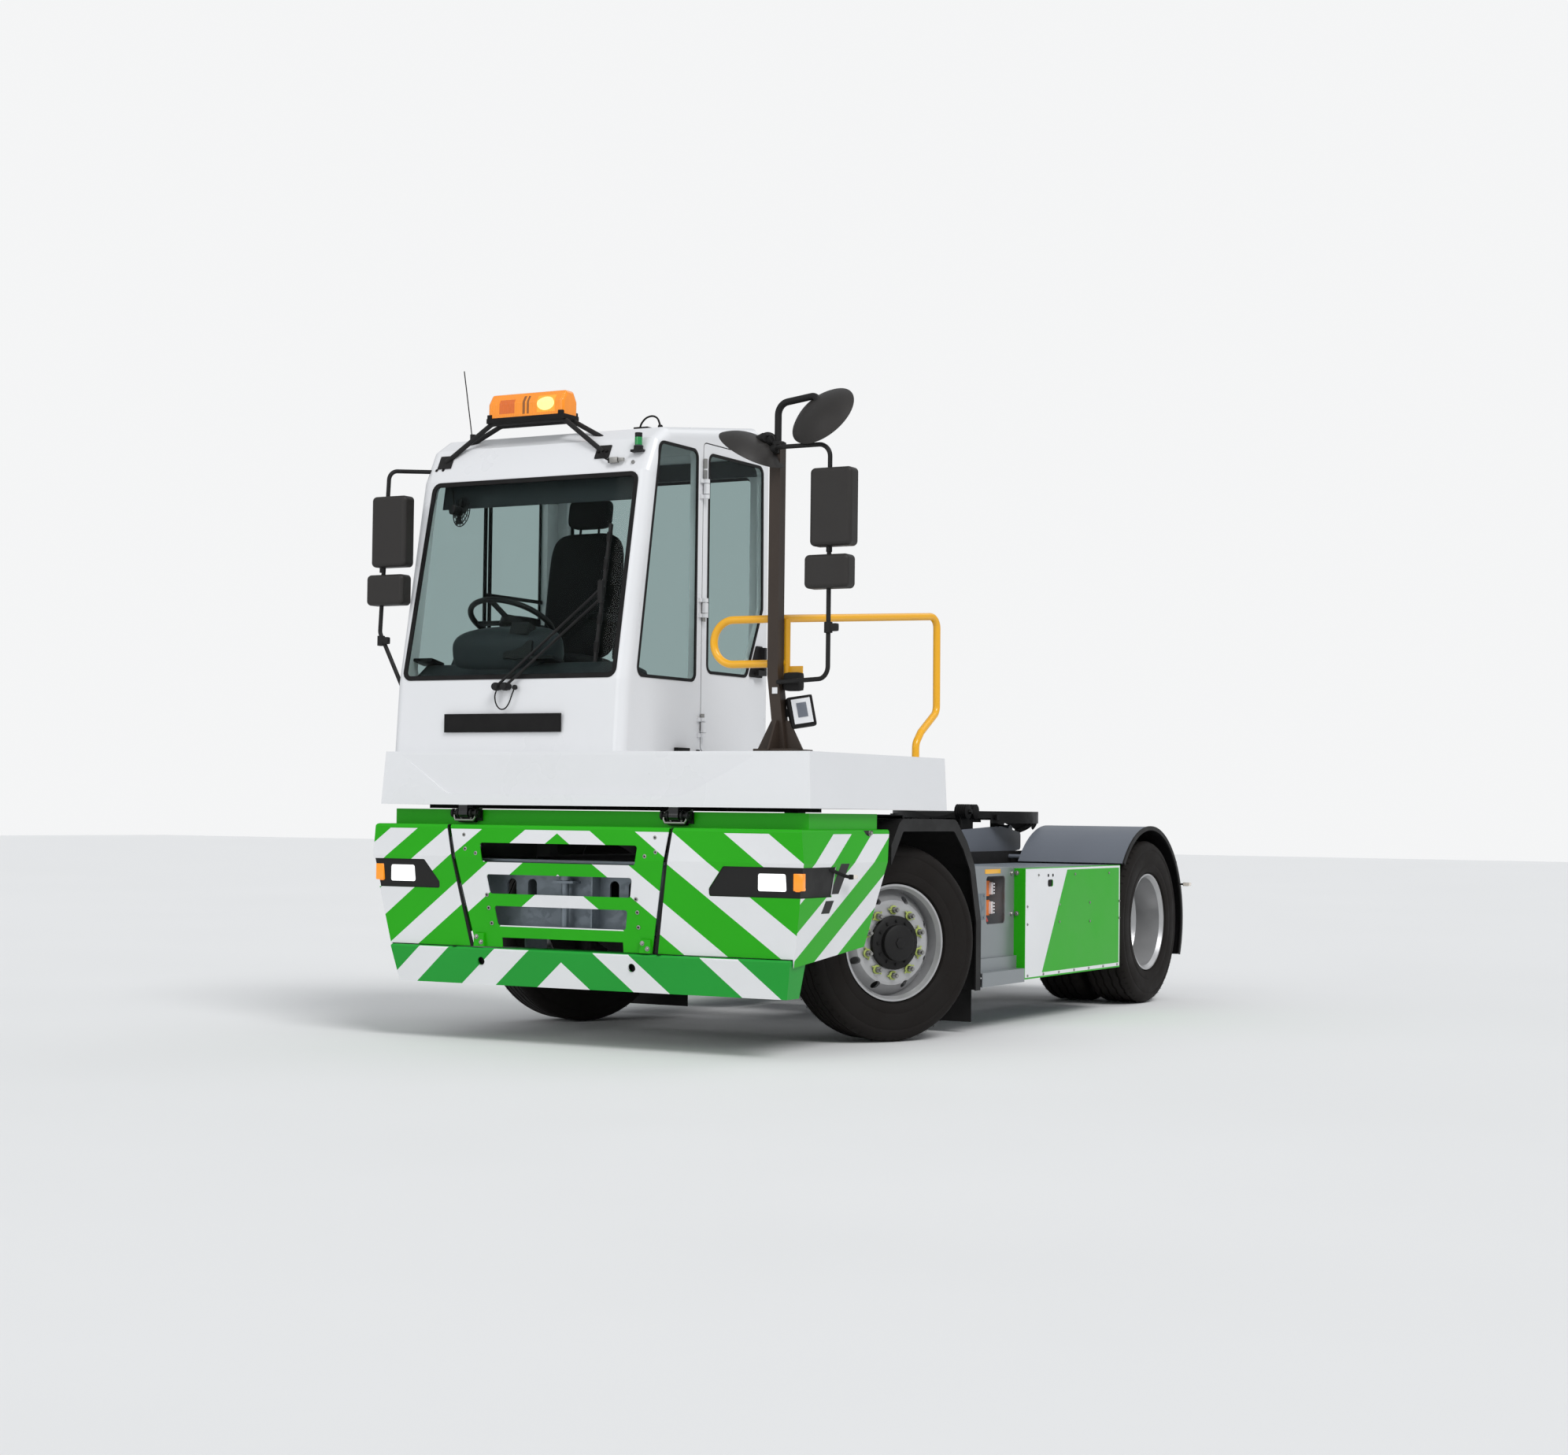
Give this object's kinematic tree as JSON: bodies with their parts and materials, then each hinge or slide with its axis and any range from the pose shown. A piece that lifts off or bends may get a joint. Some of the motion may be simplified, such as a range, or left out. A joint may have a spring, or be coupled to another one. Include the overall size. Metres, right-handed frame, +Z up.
{
  "type": "terminal tractor",
  "caption": "Electric yard truck for shunting trailers: an offset tilting cab on a white deck, chevron nose, side battery boxes, twin rear wheels and a lifting fifth wheel",
  "frame": {"origin": "On the ground, midway along the overall length and on the middle of the vehicle", "axes": "+X forward to the nose, +Y to the vehicle's left (the deck's side), +Z up"},
  "size_m": [5.29, 2.8695, 3.4925],
  "materials": {
    "green_paint": "gloss",
    "white_paint": "gloss",
    "grey_paint": "satin",
    "chassis_paint": "satin",
    "yellow_paint": "gloss",
    "wheel_silver": "satin",
    "galvanised": "spangled matt",
    "spring_steel": "dull",
    "cast_metal": "rough",
    "cast_black": "greased",
    "chrome_rod": "polished",
    "tyre": "matt",
    "black_plastic": "matt",
    "cab_trim": "matt",
    "orange_plastic": "satin",
    "amber_lens": "clear",
    "red_lens": "clear",
    "lamp_glass": "clear",
    "seat_fabric": "woven",
    "glass": "clear"
  },
  "bodies": {
    "chassis": {"front_axle": "chassis_paint", "rear_axle": "chassis_paint", "frame": "chassis_paint", "leaf_springs": "spring_steel", "drive_motor": "cast_metal", "corner_panels": "green_paint", "grille_panel": "green_paint", "cowl": "green_paint", "lamp_housings": "black_plastic", "headlamps": "lamp_glass", "signal_lamps": "amber_lens", "bumper_bar": "green_paint", "tow_member": "galvanised", "tilt_hinges": "chassis_paint", "front_mudguards": "black_plastic", "step_frames": "galvanised", "power_plugs": "orange_plastic", "battery_boxes": "galvanised", "battery_covers": "green_paint", "rear_mudguards": "grey_paint", "mudguard_edges": "black_plastic", "rear_lamps": "red_lens"},
    "cab": {"deck": "white_paint", "cab_front": "white_paint", "cab_roof": "white_paint", "cab_rear": "white_paint", "cab_right_side": "white_paint", "cab_left_side": "white_paint", "cab_glass": "glass", "cab_floor_plate": "cab_trim", "seat": "seat_fabric", "dashboard": "cab_trim", "steering_wheel": "black_plastic", "beacon_frame": "black_plastic", "light_bar": "amber_lens", "roof_fittings": "black_plastic", "wipers": "black_plastic", "mirror_post": "white_paint", "mirror_arms": "black_plastic", "mirror_shells": "black_plastic", "handrail": "yellow_paint"},
    "cab_door": {"door": "white_paint", "door_glass": "glass", "door_handle": "black_plastic"},
    "left_knuckle": {"knuckle_left": "chassis_paint"},
    "right_knuckle": {"knuckle_right": "chassis_paint"},
    "steering_rod": {"tie_rod": "chassis_paint"},
    "left_front_wheel": {"front_left_tyre": "tyre", "front_left_wheel": "wheel_silver"},
    "right_front_wheel": {"front_right_tyre": "tyre", "front_right_wheel": "wheel_silver"},
    "left_twin_wheels": {"rear_left_tyres": "tyre", "rear_left_wheels": "wheel_silver"},
    "right_twin_wheels": {"rear_right_tyres": "tyre", "rear_right_wheels": "wheel_silver"},
    "lifting_boom": {"boom": "grey_paint"},
    "coupling_plate": {"fifth_wheel": "cast_black"},
    "lift_cylinders": {"ram_barrels": "grey_paint"},
    "lift_rods": {"ram_rods": "chrome_rod"}
  },
  "joints": [
    {"name": "cab_tilt", "type": "hinge", "parent": "chassis", "child": "cab", "pos_m": [2.55, 0, 1.147], "axis": [0, 1, 0], "range_deg": [0, 45]},
    {"name": "door_hinge", "type": "hinge", "parent": "cab", "child": "cab_door", "pos_m": [1.758, 0.18, 2.28], "axis": [0, 0, -1], "range_deg": [0, 90]},
    {"name": "left_steering", "type": "hinge", "parent": "chassis", "child": "left_knuckle", "pos_m": [1.215, 0.867, 0.508], "axis": [0, 0, 1], "range_deg": [-12.4, 71.6]},
    {"name": "right_steering", "type": "hinge", "parent": "chassis", "child": "right_knuckle", "pos_m": [1.215, -0.867, 0.508], "axis": [0, 0, 1], "range_deg": [-12.4, 71.6]},
    {"name": "tie_rod_pivot", "type": "hinge", "parent": "left_knuckle", "child": "steering_rod", "pos_m": [1.06197, 0.95393, 0.358], "axis": [0, 0, 1], "range_deg": [-71.6, 12.4]},
    {"name": "left_front_roll", "type": "hinge", "parent": "left_knuckle", "child": "left_front_wheel", "pos_m": [1.215, 0.867, 0.508], "axis": [0.4939, 0.8695, 0], "continuous": true},
    {"name": "right_front_roll", "type": "hinge", "parent": "right_knuckle", "child": "right_front_wheel", "pos_m": [1.215, -0.867, 0.508], "axis": [0.4939, 0.8695, 0], "continuous": true},
    {"name": "left_rear_roll", "type": "hinge", "parent": "chassis", "child": "left_twin_wheels", "pos_m": [-2.045, 0.93, 0.508], "axis": [0, 1, 0], "continuous": true},
    {"name": "right_rear_roll", "type": "hinge", "parent": "chassis", "child": "right_twin_wheels", "pos_m": [-2.045, -0.93, 0.508], "axis": [0, 1, 0], "continuous": true},
    {"name": "boom_lift", "type": "hinge", "parent": "chassis", "child": "lifting_boom", "pos_m": [-0.18, 0, 0.8], "axis": [0, 1, 0], "range_deg": [0, 14]},
    {"name": "coupling_tilt", "type": "hinge", "parent": "lifting_boom", "child": "coupling_plate", "pos_m": [-1.9, 0, 1.072], "axis": [0, 1, 0], "range_deg": [-16, 8]},
    {"name": "cylinder_swing", "type": "hinge", "parent": "chassis", "child": "lift_cylinders", "pos_m": [-0.7, 0, 0.48], "axis": [0, 1, 0], "range_deg": [0, 17.36]},
    {"name": "rod_slide", "type": "slide", "parent": "lift_cylinders", "child": "lift_rods", "axis": [-0.8227, 0, 0.5684], "range_m": [0, 0.1427]}
  ],
  "couplings": [
    {"joint": "right_steering", "follows": "left_steering", "ratio": 1},
    {"joint": "tie_rod_pivot", "follows": "left_steering", "ratio": -1},
    {"joint": "cylinder_swing", "follows": "boom_lift", "ratio": 1.24},
    {"joint": "rod_slide", "follows": "boom_lift", "m_per_rad": 0.584}
  ]
}
